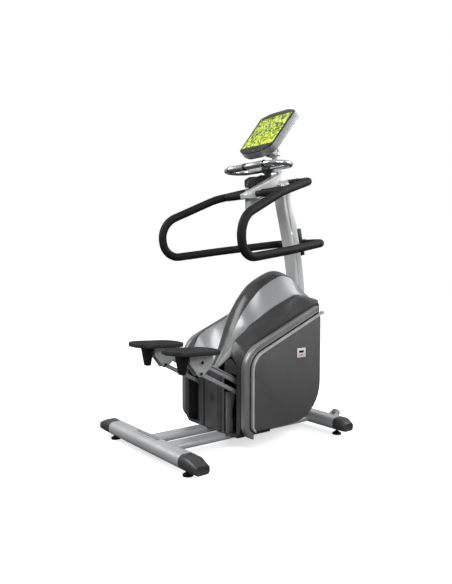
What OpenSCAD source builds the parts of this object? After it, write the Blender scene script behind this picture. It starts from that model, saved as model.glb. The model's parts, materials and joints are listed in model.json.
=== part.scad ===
// Gym stair climber with two independent steps, a covered drive and a mast with
// handlebars, a heart-rate bar and a tilting console.
// +X is the user's right, +Y is the way the user faces and +Z is up. The origin is on
// the floor, on the mid-plane, half way along the base. Sizes are in millimetres.

/* [Base] */
// Width of the rear stabiliser over its end caps
base_w = 900; // [890:2:910]
// Width of the front stabiliser over its end caps
front_w = 768; // [760:2:780]
// Distance between the axes of the two stabilisers
base_l = 980; // [980:2:1000]
// Depth of the stabiliser extrusion
stab_d = 90; // [88:1:92]
// Height of the stabiliser extrusion
stab_h = 65; // [63:1:65]
// Gap between a stabiliser and the floor
stab_lift = 30; // [30:1:32]
// Distance of each rail from the mid-plane
rail_x = 78; // [76:1:80]
// Width of a rail
rail_w = 86; // [80:1:86]

/* [Step linkage] */
// Distance of each step arm from the mid-plane
arm_x = 158; // [156:1:160]
// Distance between the two pivots of an arm
arm_len = 480; // [474:2:484]
// Angle of the arms above level at the top of the stroke
arm_rise = 28; // [27:0.5:28]
// Height of the upper pivot in the body
pivot_z = 226; // [224:1:228]
// Position of the upper pivot along the machine
pivot_y = 119; // [116:1:122]
// Height of the upper pivot over the lower one
pivot_gap = 52; // [50:1:54]

/* [Pedals] */
// Length of a pedal
pedal_l = 280; // [274:2:290]
// Width of a pedal
pedal_w = 180; // [174:2:184]
// Slope of a pedal, toe down
pedal_tilt = 3; // [2:0.5:4]

/* [Covers] */
// Distance of the outer face of a side panel from the mid-plane
panel_x = 286; // [284:1:288]
// Thickness of the moulded covers
skin = 3; // [3:0.5:4]

/* [Mast] */
// Width of the mast extrusion
mast_w = 80; // [76:1:84]
// Depth of the mast extrusion
mast_d = 68; // [66:1:70]
// Radius of the bend of the mast
mast_bend_r = 2500; // [2400:20:2600]
// Lean of the top of the mast towards the user
mast_lean = 14.5; // [14:0.1:15]

/* [Handlebars] */
// Outer diameter of the foam on the handlebars
grip_d = 43; // [41:1:45]
// Diameter of the steel tube inside the foam
bar_d = 32; // [30:1:34]

/* [Console] */
// Width of the console
console_w = 276; // [270:2:286]
// Height of the console along its face
console_h = 310; // [304:2:316]
// Thickness of the console
console_t = 46; // [44:1:50]
// Angle of the console face from upright
console_tilt = 39; // [37:1:41]

/* [Hidden] */
$fn = 48;

// Base
wall = 3;
stab_r = 28;
stab_z = stab_lift + stab_h / 2;
stab_top = stab_lift + stab_h;
rear_axis = -base_l / 2;
front_axis = base_l / 2;
rear_cap_l = 124;
front_cap_l = 72;
rail_h = 30;
rail_top = 63;
foot_stem_r = 6;
rear_foot_x = 338;
front_foot_x = 302;
wheel_x = 250;
wheel_w = 30;
wheel_r = 16;
wheel_y = front_axis + 48;
wheel_z = 101;
wheel_axle_r = 5;
fit = 0.05;

// Step linkage
axle_r = 10;
arm_t = 30;
hub_t = 40;
pin_r = 6;
open_pivot_fit = 0.5;
gap_lean = 6;
upper_pivot = [pivot_y, pivot_z];
lower_pivot = upper_pivot - [gap_lean, pivot_gap];
arm_reach = arm_len * [-cos(arm_rise), sin(arm_rise)];
upper_pin = upper_pivot + arm_reach;
lower_pin = lower_pivot + arm_reach;
pedal_mid = [-349, 506];
pedal_r = 76;
bracket_t = 5.5;

// Drive
plate_t = 6;
deck_z = rail_top + plate_t;
deck_half_w = 130;
shelf_z = 96;
upright_in = 122;
upright_out = 190;
shaft_at = [80, 430];
shaft_r = 10;
sprocket_r = 30;
pulley_r = 105;
pulley_w = 20;
rotor_at = [240, 290];
rotor_r = 22;
rotor_shaft_r = 8;
chain_in = 28;
chain_out = 33;
spring_hook = [shaft_at.x + 30.5, 268];
lug_top = 291;

// Covers
rear_face_y = -120;
panel_rear_y = -80;
panel_front_y = 375;
panel_low_z = 106;
panel_slope = 22.5;
slot_in = 112;
slot_out = 208;
slot_low = 78;
slot_high = 376;
band_out = 40;
band_in = 9;

// Mast
mast_y = 488;
mast_low = stab_top + 8;
bend_z = 490;
mast_top_l = 236;
low_clamp_a = 12.3;
mast_r = 12;
arc_mid = [mast_y - mast_bend_r, bend_z];
mast_knee = arc_mid + mast_bend_r * [cos(mast_lean), sin(mast_lean)];

// Console
console_mid = [0, 243, 1618];
console_pivot = [300, 1500];
pivot_tilt_r = 9;

// ---- helpers ----------------------------------------------------------------------

// A centred rectangle with round corners
module rounded_rect(w, h, r) {
    square([w - 2 * r, h], center = true);
    square([w, h - 2 * r], center = true);
    for (x = [-1, 1], y = [-1, 1])
        translate([x * (w / 2 - r), y * (h / 2 - r)]) circle(r);
}

// The section of a tube with round corners
module tube_section(w, h, r, t) {
    difference() {
        rounded_rect(w, h, r);
        rounded_rect(w - 2 * t, h - 2 * t, r - t);
    }
}

// A flat plate in the Y-Z plane, from x to x + t
module side_plate(x, t) {
    translate([x, 0, 0]) rotate([90, 0, 90]) linear_extrude(t) children();
}

// A rod along X, at = [y, z]
module x_rod(x0, x1, at, r) {
    translate([x0, at.x, at.y]) rotate([0, 90, 0]) cylinder(h = x1 - x0, r = r);
}

// Children are drawn on the right, and mirrored for the left
module on_side(side) {
    mirror([side > 0 ? 0 : 1, 0, 0]) children();
}

module both_sides() {
    for (side = [-1, 1]) on_side(side) children();
}

function unit(v) = v / norm(v);

// The arc of radius r that rounds the corner p between its neighbours a and b
function corner_arc(a, p, b, r) =
    let (u = unit(a - p), v = unit(b - p), half = acos(u * v) / 2)
    let (c = p + unit(u + v) * r / sin(half))
    let (start = p + u * r / tan(half) - c, stop = p + v * r / tan(half) - c)
    let (from = atan2(start.y, start.x), to = atan2(stop.y, stop.x))
    let (sweep = (to - from + 540) % 360 - 180, n = max(2, ceil(abs(sweep) / 10)))
    [for (i = [0:n]) c + r * [cos(from + sweep * i / n), sin(from + sweep * i / n)]];

// A closed outline with its corners [x, y, r] rounded
function rounded_outline(pts) =
    let (n = len(pts), flat = [for (p = pts) [p.x, p.y]])
    [for (i = [0:n - 1])
        each corner_arc(flat[(i + n - 1) % n], flat[i], flat[(i + 1) % n], pts[i].z)];

// Points of a Catmull-Rom curve through a list of vectors, n steps per stretch
function spline(pts, n) =
    let (last = len(pts) - 1)
    [for (i = [0:last - 1], k = [0:n - (i == last - 1 ? 0 : 1)])
        let (a = pts[max(i - 1, 0)], b = pts[i], c = pts[i + 1], d = pts[min(i + 2, last)], t = k / n)
        0.5 * (2 * b + (c - a) * t + (2 * a - 5 * b + 4 * c - d) * t ^ 2
            + (3 * b - a - 3 * c + d) * t ^ 3)];

// A closed solid between two grids of points with the same rows and columns
module grid_shell(outer, inner) {
    rows = len(outer);
    cols = len(outer[0]);
    half = rows * cols;
    function at(layer, i, j) = layer * half + i * cols + j;
    function quad(a, b, c, d) = [[a, b, c], [a, c, d]];
    top = [for (i = [0:rows - 2], j = [0:cols - 2])
        each quad(at(0, i, j), at(0, i + 1, j), at(0, i + 1, j + 1), at(0, i, j + 1))];
    under = [for (i = [0:rows - 2], j = [0:cols - 2])
        each quad(at(1, i, j), at(1, i, j + 1), at(1, i + 1, j + 1), at(1, i + 1, j))];
    row_ends = [for (j = [0:cols - 2])
        each concat(quad(at(0, 0, j), at(0, 0, j + 1), at(1, 0, j + 1), at(1, 0, j)),
            quad(at(0, rows - 1, j + 1), at(0, rows - 1, j), at(1, rows - 1, j), at(1, rows - 1, j + 1)))];
    col_ends = [for (i = [0:rows - 2])
        each concat(quad(at(0, i + 1, 0), at(0, i, 0), at(1, i, 0), at(1, i + 1, 0)),
            quad(at(0, i, cols - 1), at(0, i + 1, cols - 1), at(1, i + 1, cols - 1), at(1, i, cols - 1)))];
    polyhedron(points = [each for (row = outer) row, each for (row = inner) row],
        faces = concat(top, under, row_ends, col_ends));
}

// Normals that follow a path without twisting
function carried_normals(path, i = 0, before = [0, 0, 1]) =
    i == len(path) ? [] :
    let (t = unit(path[min(i + 1, len(path) - 1)] - path[max(i - 1, 0)]))
    let (n = unit(before - (before * t) * t))
    concat([[n, cross(t, n)]], carried_normals(path, i + 1, n));

// Rings of radius r round a path
function path_rings(path, r, sides) =
    let (frames = carried_normals(path))
    [for (i = [0:len(path) - 1]) [for (k = [0:sides - 1])
        path[i] + r * (cos(360 * k / sides) * frames[i][0] + sin(360 * k / sides) * frames[i][1])]];

// A rod swept along a path
module path_rod(path, r, sides = 12) {
    rings = path_rings(path, r, sides);
    last = len(path) - 1;
    walls = [for (i = [0:last - 1], k = [0:sides - 1])
        let (a = i * sides + k, b = i * sides + (k + 1) % sides)
        each [[a, a + sides, b + sides], [a, b + sides, b]]];
    ends = [[for (k = [0:sides - 1]) k], [for (k = [sides - 1:-1:0]) last * sides + k]];
    polyhedron(points = [each for (ring = rings) ring], faces = concat(walls, ends));
}

// A tube swept along a path
module path_tube(path, r_out, r_in, sides = 12) {
    outer = path_rings(path, r_out, sides);
    inner = path_rings(path, r_in, sides);
    last = len(path) - 1;
    half = len(path) * sides;
    function strip(i, k, base) = [base + i * sides + k, base + i * sides + (k + 1) % sides];
    walls = [for (i = [0:last - 1], k = [0:sides - 1])
        let (o = strip(i, k, 0), p = strip(i + 1, k, 0), m = strip(i, k, half), n = strip(i + 1, k, half))
        each [[o[0], p[0], p[1]], [o[0], p[1], o[1]], [m[0], n[1], n[0]], [m[0], m[1], n[1]]]];
    ends = [for (k = [0:sides - 1])
        let (o = strip(0, k, 0), m = strip(0, k, half), p = strip(last, k, 0), n = strip(last, k, half))
        each [[o[0], o[1], m[1]], [o[0], m[1], m[0]], [p[0], n[0], n[1]], [p[0], n[1], p[1]]]];
    polyhedron(points = [each for (row = outer) row, each for (row = inner) row],
        faces = concat(walls, ends));
}

// ---- base -------------------------------------------------------------------------

module stabilizer_bar(y, length) {
    translate([0, y, stab_z]) rotate([90, 0, 90])
        linear_extrude(length, center = true) tube_section(stab_d, stab_h, stab_r, wall);
}

// An end cap whose nose slopes down and in to a small end face with a shallow recess
module stabilizer_cap(half_w, y, length, foot_x) {
    straight = length * 0.55;
    end_w = stab_d * 0.8;
    end_h = stab_h * 0.62;
    drop = (stab_h - end_h) / 2 - 3;
    difference() {
        translate([half_w - length, y, stab_z]) rotate([90, 0, 90]) difference() {
            hull() {
                linear_extrude(straight) rounded_rect(stab_d, stab_h, stab_r);
                translate([0, -drop, length - 1]) linear_extrude(1) rounded_rect(end_w, end_h, 15);
            }
            translate([0, -drop, length - 2]) linear_extrude(3) rounded_rect(end_w - 22, end_h - 18, 9);
        }
        translate([foot_x, y, stab_lift - 1]) cylinder(h = 28, r = foot_stem_r + fit);
    }
}

module rear_stabilizer() {
    color("silver") stabilizer_bar(rear_axis, base_w - 2 * rear_cap_l);
}

// Two ears on the front of the bar hold each transport wheel; the feet screw in below
module front_stabilizer() {
    color("silver") difference() {
        union() {
            stabilizer_bar(front_axis, front_w - 2 * front_cap_l);
            both_sides() for (x = [wheel_x - wheel_w / 2 - 7, wheel_x + wheel_w / 2 + 1])
                side_plate(x, 6) wheel_ear();
        }
        both_sides() {
            x_rod(wheel_x - wheel_w, wheel_x + wheel_w, [wheel_y, wheel_z], wheel_axle_r);
            translate([front_foot_x, front_axis, stab_lift - 1]) cylinder(h = 28, r = foot_stem_r + fit);
        }
    }
}

module rear_caps() {
    color("dimgray") both_sides() stabilizer_cap(base_w / 2, rear_axis, rear_cap_l, rear_foot_x);
}

module front_caps() {
    color("dimgray") both_sides() stabilizer_cap(front_w / 2, front_axis, front_cap_l, front_foot_x);
}

module wheel_ear() {
    front_y = front_axis + stab_d / 2;
    translate([wheel_y, wheel_z]) circle(10);
    polygon([[wheel_y - 7, wheel_z + 7], [wheel_y + 7, wheel_z - 7],
        [front_y - 1, stab_z + 7], [front_y - 31, stab_top - 1]]);
}

module transport_wheel(side) {
    color("black") on_side(side) difference() {
        x_rod(wheel_x - wheel_w / 2, wheel_x + wheel_w / 2, [wheel_y, wheel_z], wheel_r);
        x_rod(wheel_x - wheel_w, wheel_x + wheel_w, [wheel_y, wheel_z], wheel_axle_r + fit);
    }
}

module wheel_axles() {
    reach = wheel_w / 2 + 7;
    color("silver") both_sides()
        x_rod(wheel_x - reach, wheel_x + reach, [wheel_y, wheel_z], wheel_axle_r);
}

// A disc pad on a stem that screws up into the end cap
module levelling_foot(side, x, y) {
    color("black") on_side(side) translate([x, y, 0]) {
        cylinder(h = 8, r1 = 24, r2 = 23);
        translate([0, 0, 8]) cylinder(h = 8, r1 = 15, r2 = 12);
        translate([0, 0, 16]) cylinder(h = 38, r = foot_stem_r);
    }
}

module base_rails() {
    color("silver") both_sides()
        translate([rail_x, 0, rail_top - rail_h / 2]) rotate([90, 0, 0])
            linear_extrude(base_l - stab_d, center = true) tube_section(rail_w, rail_h, 13, wall);
}

// A plate bolted over the rear stabiliser where the rails meet it
module saddle_plate() {
    color("silver") difference() {
        translate([-115, rear_axis - 17, stab_top]) cube([230, 34, 4]);
        for (x = [-92, 92]) translate([x, rear_axis, stab_top - 1]) cylinder(h = 6, r = 4.5);
    }
}

// Button heads of the plate's screws, and the screws of the mast's foot
module base_fasteners() {
    color("silver") {
        for (x = [-92, 92]) translate([x, rear_axis, stab_top + 4]) cylinder(h = 3, r = 7);
        for (x = [-50, 50]) translate([x, mast_y, stab_top + 8]) cylinder(h = 5, r = 8);
    }
}

// ---- drive frame ------------------------------------------------------------------

// One upright with the bores of both axles and of the input shaft
module upright() {
    difference() {
        union() {
            polygon([[20, deck_z], [200, deck_z], [pivot_y + 42, pivot_z + 10],
                [shaft_at.x + 26, shaft_at.y], [shaft_at.x - 26, shaft_at.y],
                [pivot_y - 42, pivot_z - 30]]);
            translate(shaft_at) circle(26);
        }
        translate(upper_pivot) circle(axle_r);
        translate(lower_pivot) circle(axle_r);
        translate(shaft_at) circle(shaft_r + fit);
    }
}

module drive_frame() {
    color("gray") {
        translate([-deck_half_w, 20, rail_top]) cube([2 * deck_half_w, 340, plate_t]);
        both_sides() {
            side_plate(upright_in, plate_t) upright();
            side_plate(upright_out, plate_t) intersection() {
                upright();
                translate([0, shelf_z]) square([400, 600]);
            }
            translate([upright_in, 60, shelf_z]) cube([upright_out - upright_in + plate_t, 110, plate_t]);
        }
        side_plate(-46, plate_t) alternator_mount();
        both_sides() x_rod(upright_in + plate_t, upright_out, spring_hook, 5);
    }
}

module alternator_mount() {
    difference() {
        polygon([[190, deck_z], [330, deck_z], [rotor_at.x + 50, rotor_at.y + 40],
            [rotor_at.x - 50, rotor_at.y + 40]]);
        translate(rotor_at) circle(30);
    }
}

module pivot_axle(at) {
    reach = upright_out + plate_t;
    color("silver") x_rod(-reach, reach, at, axle_r);
}

// An arm between a body pivot and a pedal pin, height h, with its two bores
module arm(pivot, pin, h, pivot_bore, pin_bore) {
    along = unit(pin - pivot);
    across = [-along.y, along.x] * h / 2;
    difference() {
        union() {
            side_plate(arm_x - arm_t / 2, arm_t) {
                polygon([pivot + across, pivot - across, pin - across, pin + across]);
                translate(pin) circle(h / 2);
            }
            x_rod(arm_x - hub_t / 2, arm_x + hub_t / 2, pivot, axle_r + 8);
        }
        x_rod(arm_x - hub_t, arm_x + hub_t, pivot, pivot_bore);
        x_rod(arm_x - hub_t, arm_x + hub_t, pin, pin_bore);
    }
}

// The upper arm has a lug on top that pulls the chain
module upper_arm(side) {
    lug_y = shaft_at.x - sprocket_r;
    lug_z = pivot_z + (pivot_y - lug_y) * tan(arm_rise);
    color("darkgray") on_side(side) {
        arm(upper_pivot, upper_pin, 26, axle_r + fit, pin_r + fit);
        side_plate(arm_x - 6, 12) polygon([[lug_y - 10, lug_z + 14], [lug_y + 10, lug_z + 4],
            [lug_y + 6, lug_z + 28], [lug_y - 6, lug_z + 28]]);
    }
}

module lower_arm(side) {
    color("darkgray") on_side(side) arm(lower_pivot, lower_pin, 18, axle_r + fit, pin_r + open_pivot_fit);
}

// ---- pedals -----------------------------------------------------------------------

// Places children in the frame of a pedal's platform
module pedal_frame() {
    translate([arm_x, pedal_mid.x, pedal_mid.y]) rotate([-pedal_tilt, 0, 0]) children();
}

module pedal_outline(inset) {
    rounded_rect(pedal_w - 2 * inset, pedal_l - 2 * inset, pedal_r - inset);
}

// Two cheek plates, the pins that they carry and the tray that is welded on top
module pedal_bracket(side) {
    cheek = rounded_outline([[-371, 503, 2], [-371, 450, 8], [-320, 383, 10], [-296, 386, 8],
        [-252, 424, 8], [-239, 442, 4], [-239, 490, 2]]);
    color("lightgray") on_side(side) {
        difference() {
            for (x = [arm_x - arm_t / 2 - 1 - bracket_t, arm_x + arm_t / 2 + 1])
                side_plate(x, bracket_t) polygon(cheek);
            pedal_frame() translate([-150, -250, -8]) cube([300, 500, 60]);
        }
        for (at = [upper_pin, lower_pin]) {
            reach = arm_t / 2 + bracket_t + 6;
            x_rod(arm_x - reach, arm_x + reach, at, pin_r);
            for (x = [-reach, reach - 4]) x_rod(arm_x + x, arm_x + x + 4, at, 10);
        }
        pedal_frame() translate([0, 0, -8]) linear_extrude(9) pedal_outline(4);
    }
}

module pedal_tread(side) {
    color("black") on_side(side) pedal_frame() {
        difference() {
            translate([0, 0, -12]) linear_extrude(22) pedal_outline(0);
            translate([0, 0, -13]) linear_extrude(14.2) pedal_outline(3.8);
        }
    }
}

// A rubber block under the heel, which meets the floor stop
module heel_block(side) {
    color("black") on_side(side) pedal_frame() hull() {
        translate([-29, -76, -9]) cube([58, 48, 0.9]);
        translate([-15, -58, -108]) cube([30, 22, 2]);
    }
}

// A steel post beside the inner edge of each slot, bolted to the rails
module stop_posts() {
    color("gray") both_sides() side_plate(108, 6) polygon([[-112, 276], [-54, 262], [-72, 160],
        [-66, rail_top], [-110, rail_top], [-112, 150]]);
}

// ---- drive ------------------------------------------------------------------------

module input_shaft() {
    reach = upright_out + plate_t;
    color("silver") x_rod(-reach, reach, shaft_at, shaft_r);
}

module sprocket(side) {
    teeth = 20;
    color("gray") on_side(side) side_plate(arm_x - 4, 8) translate(shaft_at) difference() {
        union() {
            circle(sprocket_r - 4);
            for (i = [0:teeth - 1]) rotate(360 * i / teeth)
                translate([sprocket_r - 5, 0]) square([5, 5], center = true);
        }
        circle(shaft_r + fit);
    }
}

// The chain comes up from the arm's lug, over the sprocket and down to the spring
module chains() {
    color("dimgray") both_sides() side_plate(arm_x - 3, 6) {
        translate([shaft_at.x - chain_out, lug_top]) square([chain_out - chain_in, shaft_at.y - lug_top]);
        translate([shaft_at.x + chain_in, 380]) square([chain_out - chain_in, shaft_at.y - 380]);
        difference() {
            translate(shaft_at) circle(chain_out);
            translate(shaft_at) circle(chain_in);
            translate(shaft_at - [50, 100]) square([100, 100]);
        }
    }
}

module return_springs() {
    color("silver") both_sides() translate([arm_x, spring_hook.x, spring_hook.y + 6]) difference() {
        cylinder(h = 105, r = 11);
        translate([0, 0, -1]) cylinder(h = 107, r = 8.5);
    }
}

module drive_pulley() {
    color("dimgray") x_disc(shaft_at, pulley_r, pulley_w, shaft_r, 62, 22);
}

// A pulley on the mid-plane with a bore and five round windows
module x_disc(at, r, width, bore, window_at, window_r) {
    side_plate(-width / 2, width) translate(at) difference() {
        circle(r);
        circle(bore);
        for (i = [0:4]) rotate(72 * i) translate([window_at, 0]) circle(window_r);
    }
}

module drive_belt() {
    color("black") side_plate(-7, 14) difference() {
        hull() {
            translate(shaft_at) circle(pulley_r + 4);
            translate(rotor_at) circle(rotor_r + 4);
        }
        hull() {
            translate(shaft_at) circle(pulley_r + 0.5);
            translate(rotor_at) circle(rotor_r + 0.5);
        }
    }
}

module alternator() {
    color("dimgray") difference() {
        x_rod(-116, -46, rotor_at, 48);
        x_rod(-120, -40, rotor_at, rotor_shaft_r + fit);
    }
}

module rotor_pulley() {
    color("silver") {
        x_rod(-pulley_w / 2, pulley_w / 2, rotor_at, rotor_r);
        x_rod(-114, -pulley_w / 2, rotor_at, rotor_shaft_r);
    }
}

// ---- covers -----------------------------------------------------------------------

// Height of the sloping top edge of a side panel
function panel_top(y) = 505 + (y - 27) * tan(panel_slope);

// The outline of a side panel in the Y-Z plane, moved in by inset, its front moved by reach
function side_outline(inset, reach = 0) =
    let (rear = panel_rear_y + inset, front = panel_front_y + 5 - inset + reach)
    let (drop = inset / cos(panel_slope))
    rounded_outline([
        [rear, panel_low_z - 5 + inset, 32 - inset],
        [front, panel_low_z - 5 + inset, 200 - inset],
        [front, panel_top(front) - drop, 14 - inset],
        [rear, panel_top(rear) - drop, 100 - inset]]);

// A ring that follows the top and the rear of a side panel
module edge_ring(x, t, outer_inset, inner_inset, front_end) {
    difference() {
        side_plate(x, t) difference() {
            polygon(side_outline(outer_inset, 80));
            polygon(side_outline(inner_inset, 80));
        }
        translate([x - 1, front_end, 0]) cube([t + 2, 200, 900]);
        translate([x - 1, panel_rear_y + 17, 0]) cube([t + 2, 600, 220]);
    }
}

module side_panels() {
    color("gray") both_sides() difference() {
        side_plate(panel_x - 30, 30) polygon(side_outline(5));
        side_plate(panel_x - 31, 31 - skin) polygon(side_outline(5 + skin));
    }
}

// The bead ends at the front in a round knob
module bead_trims() {
    bead_end = 392;
    color("whitesmoke") both_sides() {
        edge_ring(panel_x - 14, 18, -4, 4.7, bead_end);
        x_rod(panel_x - 14, panel_x + 5, [bead_end, panel_top(bead_end)], 7);
    }
}

module edge_bands() {
    color("silver") both_sides() edge_ring(panel_x - 46, 34, -band_out, -band_in, 374.5);
}

// The rear wall round the two slots, the floor that joins its halves, and an inner wall
// beside each slot
module main_cover() {
    wall_outline = rounded_outline([[slot_in, 64, 1], [239.5, 64, 56], [239.5, 364, 20],
        [208, 411, 20], [160, 457, 30], [slot_in, 418, 4]]);
    inner_x = 210;
    color("dimgray") {
        both_sides() translate([0, rear_face_y + skin, 0]) rotate([90, 0, 0]) linear_extrude(skin)
            difference() {
                polygon(wall_outline);
                translate([slot_in - 1, slot_low]) square([slot_out - slot_in + 1, slot_high - slot_low]);
            }
        difference() {
            translate([-inner_x, rear_face_y + skin, 64]) cube([2 * inner_x, 130, skin]);
            both_sides() translate([107, -112, 63]) cube([8, 48, 5]);
        }
        both_sides() translate([inner_x, rear_face_y + skin, 64]) cube([skin, 210, 330]);
    }
}

// The moulded centre column between the slots, with a groove on each side
module column_cover() {
    half = [[0, -123], [52, -123], [60, -113], [70, -102], [74, -102], [80, -114], [111, -122.5],
        [111, -119.5], [82, -110], [76, -99], [68, -99], [58, -110], [50, -119.5], [0, -119.5]];
    color("gray") both_sides() translate([0, 0, 67.5]) linear_extrude(298) polygon(half);
}

// Sections of the top of the covers, from the rear to the front:
// [y, centre z, hump edge x, z, crest x, z, side z]
top_sections = [
    [-120, 375, 16, 372, 162, 470, 330],
    [-95, 409, 19, 404, 152, 525, 440],
    [-73, 445, 22, 438, 149, 544, 475],
    [-44, 503, 32, 494, 147, 562, 508],
    [-10, 580, 40, 566, 138, 578, 531],
    [37, 676, 50, 650, 120, 601, 555],
    [85, 745, 58, 714, 111, 622, 577],
    [148, 805, 65, 776, 104, 651, 604],
    [222, 845, 66, 818, 101, 686, 632],
    [302, 870, 66, 845, 100, 718, 660],
    [380, 846, 62, 826, 100, 742, 688],
    [450, 786, 56, 774, 98, 728, 700],
    [530, 730, 50, 724, 96, 690, 690]];
smooth_sections = spline(top_sections, 3);
top_steps = 30;
top_skin = 7;
side_x = 262;
saddle_x = 239.2;
front_half_w = 271;

function front_y(x) = 533 - 154 * (x / front_half_w) ^ 2;

// The section at a place along the machine
function section_at(y) =
    let (i = max([for (k = [0:len(smooth_sections) - 2]) if (smooth_sections[k][0] <= y || k == 0) k]))
    let (a = smooth_sections[i], b = smooth_sections[i + 1])
    a + (b - a) * min(1, max(0, (y - a[0]) / (b[0] - a[0])));

function hump_point(s, u) = [s[2] * u, s[1] + (s[3] - s[1]) * u ^ 2];
function crown_point(s, u) = [s[2] + (s[4] - s[2]) * u, s[3] + (s[5] - s[3]) * u];
function saddle_point(s, u) =
    let (x = s[4] + (saddle_x - s[4]) * u)
    [x, s[5] + (s[6] - s[5]) * ((x - s[4]) / (side_x - s[4])) ^ 1.4];

// Rows of points along the machine; ends_x gives the front edge that a column runs to,
// and the drop grows by skirt towards the front and the last column
function top_grid(f, us, ends_x, drop, skirt) =
    [for (i = [0:top_steps]) [for (j = [0:len(us) - 1])
        let (y = rear_face_y + (front_y(ends_x[j]) - 4 - rear_face_y) * i / top_steps)
        let (p = f(section_at(y), us[j]))
        [p.x, y, p.y - drop - skirt * i / top_steps * j / (len(us) - 1)]]];

function span(a, b, n) = [for (i = [0:n]) a + (b - a) * i / n];

module top_shell(f, us, ends_x, skirt = 0) {
    grid_shell(top_grid(f, us, ends_x, 0, 0), top_grid(f, us, ends_x, top_skin, skirt));
}

module hump() {
    color("dimgray") difference() {
        top_shell(function (s, u) hump_point(s, u), span(-0.985, 0.985, 8),
            [for (u = span(-60, 60, 8)) u]);
        translate([-mast_w / 2 - 3, mast_y - 58, 690]) cube([mast_w + 6, 200, 250]);
    }
}

module crowns() {
    color("silver") both_sides()
        top_shell(function (s, u) crown_point(s, u), span(0.01, 0.985, 3), span(60, 98, 3));
}

module saddles() {
    color("dimgray") both_sides()
        top_shell(function (s, u) saddle_point(s, u), span(0.01, 1, 7), span(100, 243, 7), 18);
}

// The front wall: bowed in plan, and drawn back below to clear the floor
module front_cover() {
    rows = 14;
    cols = 18;
    low = 108;
    knee = 300;
    function under(z) = z > knee ? 0 : 200 - sqrt(200 ^ 2 - (knee - z) ^ 2);
    function top_z(x) = 712 - 27 * (x / front_half_w) ^ 2;
    function wall_grid(shift) = [for (i = [0:rows]) [for (j = [0:cols])
        let (x = front_half_w * (2 * j / cols - 1), z = low + (top_z(x) - low) * (i / rows) ^ 1.3)
        [x, front_y(x) - under(z) - shift, z]]];
    color("dimgray") difference() {
        grid_shell(wall_grid(0), wall_grid(skin));
        translate([-mast_w / 2 - 6, 300, 0]) cube([mast_w + 12, 300, 340]);
    }
}

module badge_plate() {
    color("white") side_plate(panel_x, 1.5) translate([238, 460]) rounded_rect(58, 48, 3);
}

// ---- mast -------------------------------------------------------------------------

// The mast's section with its depth along the first axis and a groove in each side
module mast_section() {
    difference() {
        rounded_rect(mast_d, mast_w, mast_r);
        rounded_rect(mast_d - 8, mast_w - 14, 6);
        for (s = [-1, 1]) translate([-mast_d / 2 + 20, s * mast_w / 2]) square([14, 5], center = true);
    }
}

// Places children on the straight top of the mast, z along it
module on_mast_top() {
    translate([0, mast_knee.x, mast_knee.y]) rotate([mast_lean, 0, 0]) children();
}

// The space that the upper mast and the bracket on its end take up
module mast_envelope() {
    translate([0, arc_mid.x, arc_mid.y]) rotate([90, 0, 90])
        rotate_extrude(angle = mast_lean, $fn = 360)
            translate([mast_bend_r, 0]) square([mast_d, mast_w], center = true);
    on_mast_top() translate([-mast_w / 2, -mast_d / 2, 0]) cube([mast_w, mast_d, mast_top_l + 70]);
}

module mast() {
    color("silver") {
        translate([0, mast_y, mast_low - 1]) linear_extrude(bend_z - mast_low + 1) rotate(90) mast_section();
        translate([0, arc_mid.x, arc_mid.y]) rotate([90, 0, 90])
            rotate_extrude(angle = mast_lean, $fn = 360) translate([mast_bend_r, 0]) mast_section();
        on_mast_top() linear_extrude(mast_top_l) rotate(90) mast_section();
        translate([-60, mast_y - 44, stab_top]) cube([120, 88, 8]);
    }
}

// ---- handlebars -------------------------------------------------------------------

// The right-hand bar from the upper crossing, round the rear bend, to the lower one
bar_corners = [
    [0, 445, 1357, 0], [132, 445, 1357, 62], [276, 110, 1266, 300], [346, -214, 1118, 122],
    [334, -178, 936, 84], [290, 150, 978, 400], [176, 502, 1023, 62], [0, 502, 1023, 0]];

// The rounded path through a list of [x, y, z, radius] corners
function bar_path(corners) =
    let (last = len(corners) - 1, at = [for (c = corners) [c[0], c[1], c[2]]])
    [for (i = [0:last])
        if (i == 0 || i == last) at[i]
        else let (u = unit(at[i - 1] - at[i]), v = unit(at[i + 1] - at[i]), r = corners[i][3])
            let (half = acos(u * v) / 2, mid = at[i] + unit(u + v) * r / sin(half))
            let (a = unit(at[i] + u * r / tan(half) - mid), b = unit(at[i] + v * r / tan(half) - mid))
            let (turn = acos(a * b), n = max(2, ceil(turn / 12)))
            each [for (k = [0:n])
                mid + r * (a * sin(turn * (1 - k / n)) + b * sin(turn * k / n)) / sin(turn)]];

function from_x(path, x) = [for (p = path) if (p.x > x) p];

bar = bar_path(bar_corners);
foam_from = 46;
foam = concat([[foam_from, 445, 1357]], from_x(bar, foam_from), [[foam_from, 502, 1023]]);
cross_y = 160;
cross_z = 1279;
cross_end = 227;

module handlebar_tubes() {
    steel = concat([[0.5, 445, 1357]], from_x(bar, 1), [[0.5, 502, 1023]]);
    weld_x = cross_end + 18;
    color("gray") {
        both_sides() path_rod(steel, bar_d / 2);
        x_rod(-weld_x, weld_x, [cross_y, cross_z], bar_d / 2);
    }
}

module handlebar_grips() {
    color("black") both_sides() {
        difference() {
            path_tube(foam, grip_d / 2, bar_d / 2 + 0.6);
            x_rod(cross_end - 20, cross_end + 30, [cross_y, cross_z], bar_d / 2 + 0.3);
        }
        difference() {
            x_rod(62, cross_end, [cross_y, cross_z], grip_d / 2);
            x_rod(60, cross_end + 1, [cross_y, cross_z], bar_d / 2 + 0.3);
        }
    }
}

// Two clamps on the front of the mast; each holds a crossing of the bar
module bar_clamps() {
    color("black") {
        bar_clamp([445, 1357]) on_mast_top()
            translate([-24, mast_d / 2, mast_top_l - 60]) cube([48, 8, 82]);
        bar_clamp([502, 1023]) translate([0, arc_mid.x, arc_mid.y]) rotate([low_clamp_a, 0, 0])
            translate([-36, mast_bend_r + mast_d / 2, -78]) cube([72, 26, 150]);
    }
}

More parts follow.
